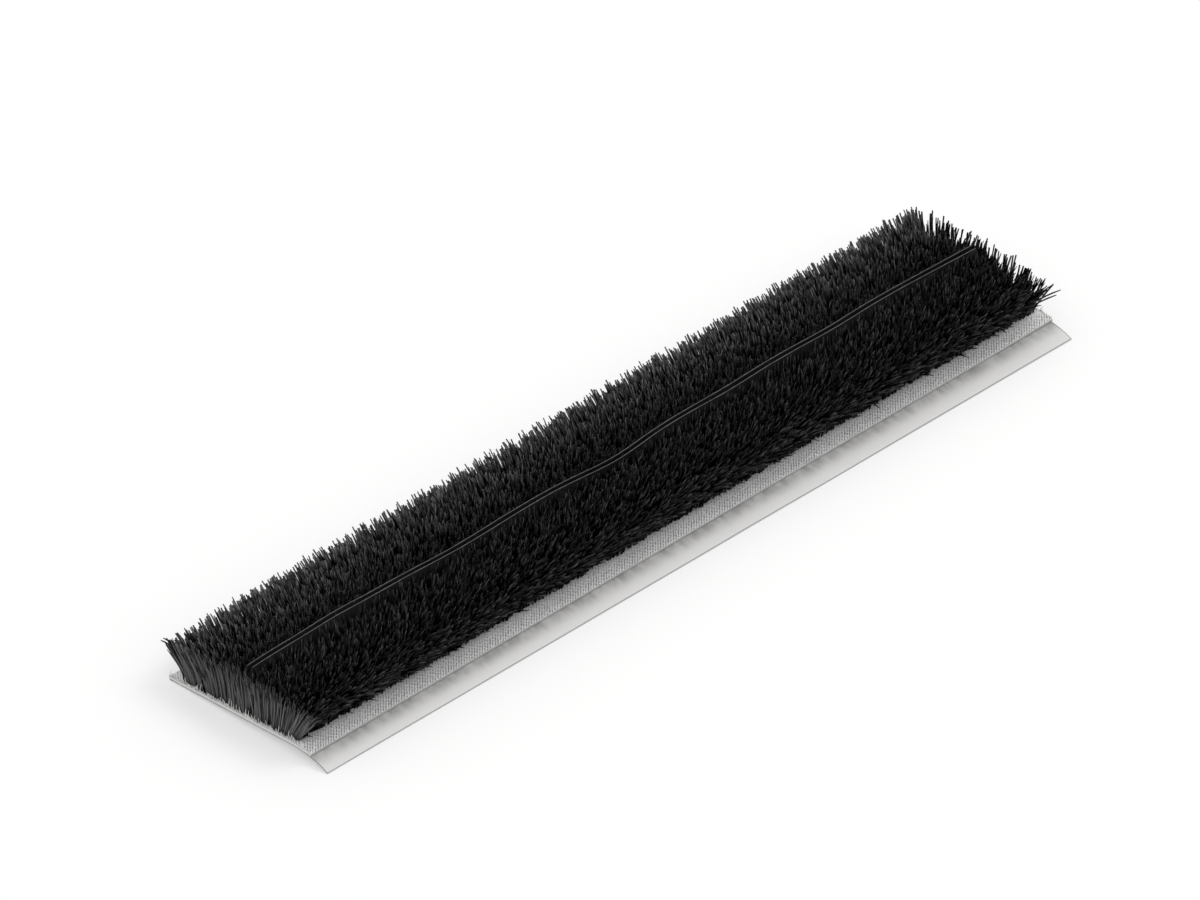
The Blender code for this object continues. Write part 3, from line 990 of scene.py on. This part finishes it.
INNER_LOOKS = {
    "far": looks(0.5, 0.24, 7, 5, far_material),
    "near": looks(TIP_WIDTH, 0.28, 8.5, 8, bristle_material),
}
EDGE_LOOKS = {
    "far": looks(0.85, 0.21, 3.5, 3, far_material),
    "near": looks(TIP_WIDTH, 0.24, 8, 6, foot_material),
}
EDGE_RAGGED = {"far": (0.0, 0.0, 0.10 * MM), "near": (0.0, 0.30 * MM, 0.15 * MM)}
END_CLUMP_LEANS = {"far": 3.0, "near": 4.8}
END_LENGTHS = {-1: PILE_HEIGHT, 1: 0.84 * PILE_HEIGHT}
FACE_LOOKS = {
    -1: looks(TIP_WIDTH, 0.24, 3.5, 5, lit_end_material),
    1: looks(0.9, 0.12, 5, 2, shaded_copy_material),
}
FACE_PER_MM2 = {-1: 60, 1: 12}
print("bristles per square mm:", BRISTLES_PER_MM2)

# %% Planting helpers
def plant(name, patch, node, slot, look, seed, per_mm2=BRISTLES_PER_MM2, length=PILE_HEIGHT, **changes):
    """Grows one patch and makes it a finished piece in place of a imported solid."""
    values = {
        "Bristles per m2": per_mm2 / MM**2,
        "Length": length,
        "Radius": BRISTLE_RADIUS,
        "Bend power": BEND_POWER,
        "Segments": 3,
        "Seed": seed,
    }
    values.update({key.replace("_", " "): value for key, value in changes.items()})
    mesh = grow(patch, pile_tree, values | look)
    piece = finish_piece(name, mesh, look["Material"])
    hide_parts(node)


def plant_pile(name, x_range, y_range, steps, bank, look, seed, ragged=(0.0, 0.0, 0.0), **changes):
    """Plants bristles on a rectangle of a bank's footprint."""
    (x_low, x_high), (y_low, y_high) = sorted(x_range), sorted(y_range)
    patch = build_patch(((x_low, y_low), (x_high, y_high)), steps, ragged=ragged)
    plant(name, patch, "pile_" + bank, "bristle", look, seed, **changes)


print("planting helpers ready")

# %% [markdown]
# ## Planting the two banks
# Each bank has two inner patches, one long patch along its edge, and at either end a short patch and a
# narrow one for the face of the cut.

# %% The two banks
EDGE_BAND = 1.3 * MM
END_BAND = 0.45 * MM
END_INSET = 0.25 * MM
FIN_CLEARANCE = 0.12 * MM
inner_gap = FIN_HALF_WIDTH + FIN_CLEARANCE
half_length = STRIP_LENGTH / 2 - END_INSET
inside = half_length - EDGE_BAND
edge_reach = half_length - 0.3 * MM

for bank, side, outer, seed in (("far", 1, PILE_FAR_EDGE, 3), ("near", -1, PILE_NEAR_EDGE, 40)):
    inner = side * inner_gap
    band = outer - side * EDGE_BAND
    for number, x_range in enumerate(((-inside, 0), (0, inside))):
        name = f"{bank}_pile_inner_{number + 1}"
        plant_pile(name, x_range, (inner, band), (54, 7), bank, INNER_LOOKS[bank], seed + number)
    plant_pile(
        f"{bank}_pile_edge", (-edge_reach, edge_reach), (band, outer), (216, 2), bank,
        EDGE_LOOKS[bank], seed + 2, EDGE_RAGGED[bank], per_mm2=EDGE_PER_MM2, Segments=5
    )
    for number, end in enumerate((-1, 1)):
        cut = end * half_length
        end_finish = INNER_LOOKS[bank]["Material"] if end < 0 else shaded_copy_material
        end_look = looks(TIP_WIDTH, 0.24, 7, END_CLUMP_LEANS[bank], end_finish)
        plant_pile(
            f"{bank}_pile_end_{number + 1}", (end * inside, cut), (inner, band), (3, 7), bank,
            end_look, seed + 4 + number, length=END_LENGTHS[end], Segments=5
        )
        plant_pile(
            f"{bank}_pile_face_{number + 1}", (end * (half_length - END_BAND), cut), (inner, outer), (2, 8),
            bank, FACE_LOOKS[end], seed + 8 + number, per_mm2=FACE_PER_MM2[end], Segments=6, Bend_power=1.1
        )

# %% [markdown]
# ## Beside the fin
# The bristles next to the fin press against it and reach up to its edge, so that no bare film shows, and
# a few stand in front of its two ends.

# %% Rows along the fin
ROW_INSET = 1.6 * MM
FIN_END_PER_MM2 = 36

for bank, side in (("far", 1), ("near", -1)):
    x_range = (ROW_INSET - half_length, half_length - ROW_INSET)
    y_range = (side * (FIN_HALF_WIDTH + 0.07 * MM), side * (FIN_HALF_WIDTH + 0.35 * MM))
    row_look = looks(TIP_WIDTH, 0.06, 2.5, 4, bristle_material)
    plant_pile(f"{bank}_fin_row", x_range, y_range, (108, 1), bank, row_look, 31 + side)
    x_range = (side * (half_length - 1.0 * MM), side * (half_length + 0.10 * MM))
    end_look = looks(TIP_WIDTH, 0.24, 3, 5, lit_end_material if side < 0 else shaded_copy_material)
    plant_pile(
        f"fin_end_row_{1 if side < 0 else 2}", x_range, (-0.45 * MM, 0.45 * MM), (4, 4), "near",
        end_look, 81 + side, per_mm2=FIN_END_PER_MM2, Segments=6
    )

# %% [markdown]
# ## Strays
# A few bristles have been knocked down along the near edge and lie over the bare margin.

# %% Strays along the near edge
STRAYS_PER_MM2 = 0.35
STRAY_LEAN = math.radians(58)
STRAY_LENGTH = 0.38 * PILE_HEIGHT

stray_corners = ((-half_length, PILE_NEAR_EDGE), (half_length, PILE_NEAR_EDGE + 0.4 * MM))
strays = build_patch(stray_corners, (108, 1))
for item in strays.data.attributes["lean"].data:
    item.value = -STRAY_LEAN
stray_look = looks(TIP_WIDTH, 0.3, 14, 9, bristle_material)
plant("near_strays", strays, "pile_near", "bristle", stray_look, 91, STRAYS_PER_MM2, STRAY_LENGTH, Segments=5)

# %% [markdown]
# At two corners a few single bristles have sprung away from the rest. Each is drawn one by one, as a thin
# tube from its root to its tip, which is given in millimetres from the root.

# %% Strays at two corners
STRAY_STEPS = 8
STRAY_BOW = 1.6
STRAY_ROUND = 1.57
SPOKE_ANGLES = (0.8, 2.37, 3.94, 5.51)
LEFT_ROOT = Vector((-53.75, 8.1, 0.43)) * MM
RIGHT_ROOT = Vector((51.5, -7.6, 0.43)) * MM
CORNER_STRAYS = (
    ("far", LEFT_ROOT, ((-0.80, 2.36, 4.40), (-0.60, 2.20, 4.65), (-0.35, 1.70, 4.55))),
    ("near", RIGHT_ROOT, ((4.95, -1.30, 1.55), (4.45, -1.15, 1.10))),
)


def stray_path(root, tip):
    """Points of a bowed bristle: it rises first and leans out towards its tip."""
    path = []
    for step in range(STRAY_STEPS + 1):
        share = step / STRAY_STEPS
        x, y, z = (part * MM for part in tip)
        out = share**STRAY_BOW
        path.append(root + Vector((x * out, y * out, z * math.sin(share * STRAY_ROUND))))
    return path


def draw_filament(builder, path, radius):
    """A closed four-sided tube along a path, slightly narrower at its tip."""
    rings = []
    for number, point in enumerate(path):
        ahead = path[min(number + 1, len(path) - 1)] - path[max(number - 1, 0)]
        turn = ahead.to_track_quat("Z", "X").to_matrix()
        size = radius * (0.6 if number == len(path) - 1 else 1.0)
        spokes = [Vector((math.cos(angle), math.sin(angle), 0)) for angle in SPOKE_ANGLES]
        rings.append([builder.verts.new(point + turn @ spoke * size) for spoke in spokes])
    bridge(builder, rings, len(SPOKE_ANGLES))
    builder.faces.new(rings[0][::-1])
    builder.faces.new(rings[-1])


for bank, root, tips in CORNER_STRAYS:
    builder = bmesh.new()
    for tip in tips:
        draw_filament(builder, stray_path(root, tip), BRISTLE_RADIUS * 0.9)
    mesh = bpy.data.meshes.new("strays")
    builder.to_mesh(mesh)
    builder.free()
    piece = finish_piece(bank + "_corner_strays", mesh, shaded_copy_material)
    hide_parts("pile_" + bank)

# %% [markdown]
# ## Frayed ends
# Where the strip was cut, the yarns of the backing come loose. A ragged pale line of very short threads
# stands along each cut end, and here and there one reaches up in front of the bristles. The right end is
# cleaner, so its threads are fewer and shorter. The same scatter plants them, on a narrow patch at the
# very end of the backing.

# %% Thread finish
thread_material, tree, shader = new_material("pale_loose_yarn")
yarn_colour = tint(tree, attribute(tree, "shade"), (0.66, 0.66, 0.65, 1), (0.90, 0.90, 0.89, 1))
dress(tree, shader, yarn_colour, 0.6)
print("thread finish:", thread_material.name)

# %% Frayed threads
FRAY_DEPTH = 0.10 * MM
FRAY_OUT = 0.10 * MM
THREAD_RADIUS = 0.042 * MM
FUZZ_PER_MM2 = 190
FUZZ_LENGTH = 0.55 * MM
THREADS_PER_MM2 = 22
THREAD_LENGTH = 1.25 * MM


def plant_threads(name, end, per_mm2, length, spread, seed):
    """Plants loose threads along one cut end of the backing."""
    x_low, x_high = sorted((end * STRIP_LENGTH / 2, end * (STRIP_LENGTH / 2 - FRAY_DEPTH)))
    corners = ((x_low, 0.1 * MM - FAR_EDGE), (x_high, FAR_EDGE - 0.05 * MM))
    patch = build_patch(corners, (1, 60), BACKING_TOP - 0.02 * MM)
    for lean, push in zip(patch.data.attributes["lean"].data, patch.data.attributes["push"].data):
        lean.value = 0.0
        push.vector = (end * FRAY_OUT, 0, 0)
    look = looks(TIP_WIDTH, spread, 16, 9, thread_material)
    plant(name, patch, "woven_backing", "weave", look, seed, per_mm2, length, Radius=THREAD_RADIUS)


for label, end, share, seed in (("left", -1, 1.0, 61), ("right", 1, 0.5, 71)):
    plant_threads(label + "_cut_fuzz", end, FUZZ_PER_MM2 * share, FUZZ_LENGTH * share, 0.8, seed)
    plant_threads(label + "_cut_threads", end, THREADS_PER_MM2 * share, THREAD_LENGTH * share, 0.6, seed + 1)

bpy.context.view_layer.update()
